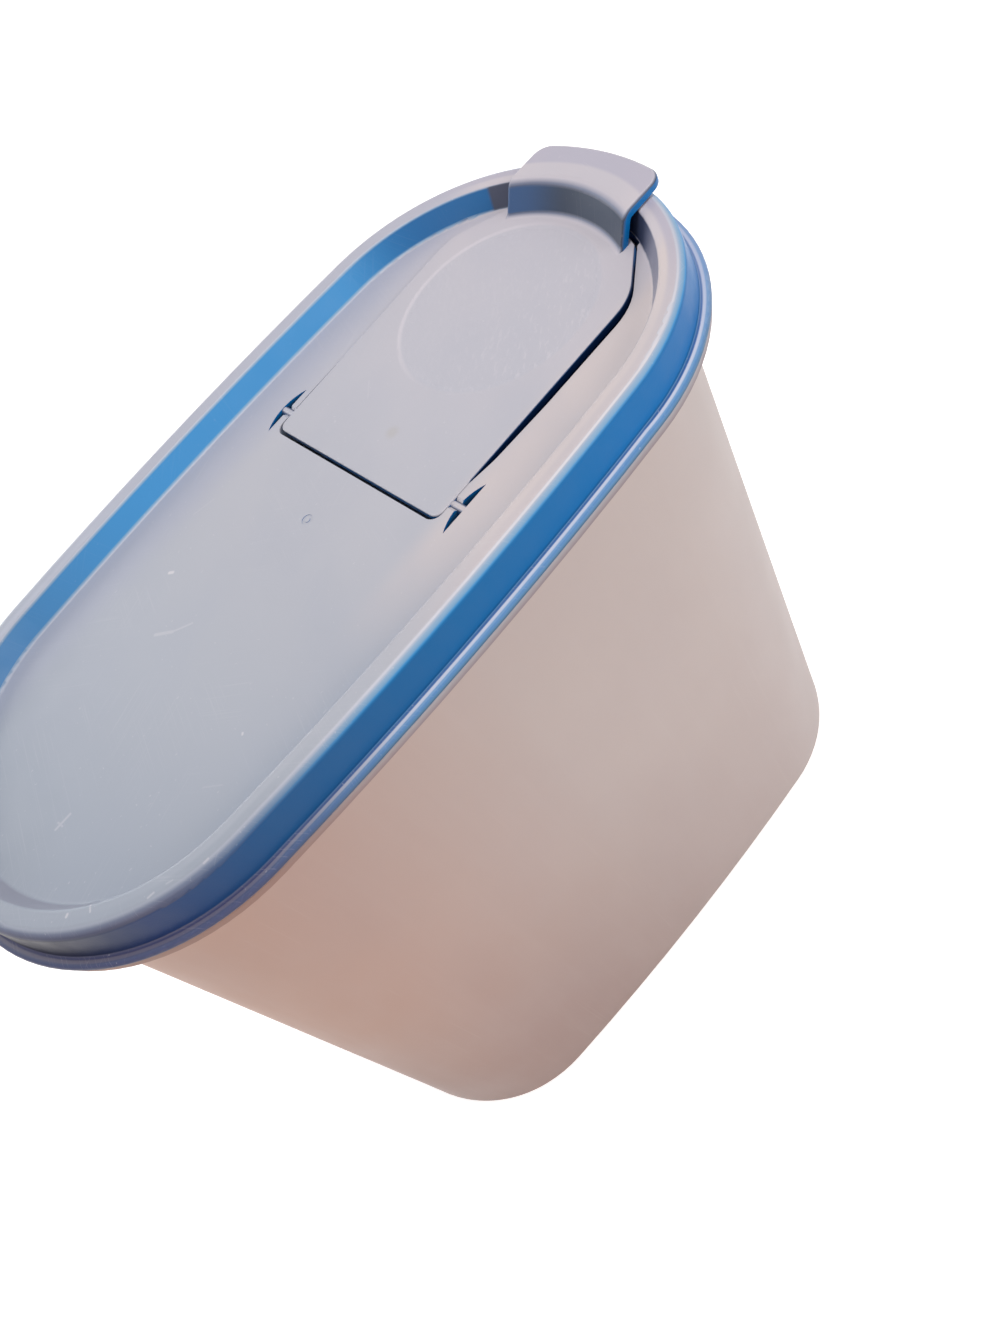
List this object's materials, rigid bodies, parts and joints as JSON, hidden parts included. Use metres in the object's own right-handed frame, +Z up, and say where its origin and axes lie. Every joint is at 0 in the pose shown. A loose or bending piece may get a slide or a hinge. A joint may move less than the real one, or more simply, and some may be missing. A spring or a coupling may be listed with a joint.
{
  "type": "food storage container",
  "caption": "Oval dry-food storage container with a frosted hollow body, a push-on seal and a hinged pouring flap with a thumb tab.",
  "frame": {"origin": "centre of the base's underside, on the surface the container stands on", "axes": "+X along the length towards the pouring end with the thumb tab, +Y across the width, +Z up"},
  "size_m": [0.19, 0.0986, 0.1737],
  "materials": {
    "frosted_shell": "frosted translucent polypropylene, satin",
    "lid_blue": "soft polyethylene, satin, finely scratched"
  },
  "bodies": {
    "container": {"container": "frosted_shell", "seal": "lid_blue"},
    "flap": {"flap": "lid_blue"}
  },
  "joints": [
    {"name": "flap_hinge", "type": "hinge", "parent": "container", "child": "flap", "pos_m": [0.0172, 0, 0.1657], "axis": [0, -1, 0], "range_deg": [0, 110]}
  ]
}
